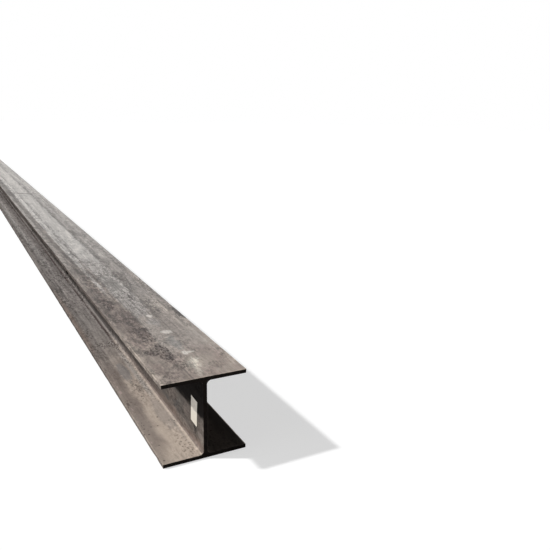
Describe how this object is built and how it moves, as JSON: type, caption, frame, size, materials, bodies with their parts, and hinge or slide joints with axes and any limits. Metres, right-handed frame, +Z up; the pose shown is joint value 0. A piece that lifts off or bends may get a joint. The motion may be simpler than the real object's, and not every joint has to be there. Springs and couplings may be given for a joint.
{
  "type": "steel h-beam",
  "caption": "Hot-rolled wide-flange steel beam, a stock length with square-sawn ends, lightly rusted mill-scale skin and a blank paper label on the web.",
  "frame": {"origin": "middle of the underside of the bottom flange, half-way along the beam", "axes": "+X along the beam towards the end that carries the label, +Y across the flanges, +Z up through the web"},
  "size_m": [12, 0.3106, 0.3079],
  "materials": {
    "weathered_steel": "as-rolled mill scale, dull, with light brown rust and dust",
    "label_paper": "matt off-white paper label, blank"
  },
  "bodies": {
    "root": {"h_beam": "weathered_steel", "paper_label": "label_paper"}
  },
  "joints": []
}
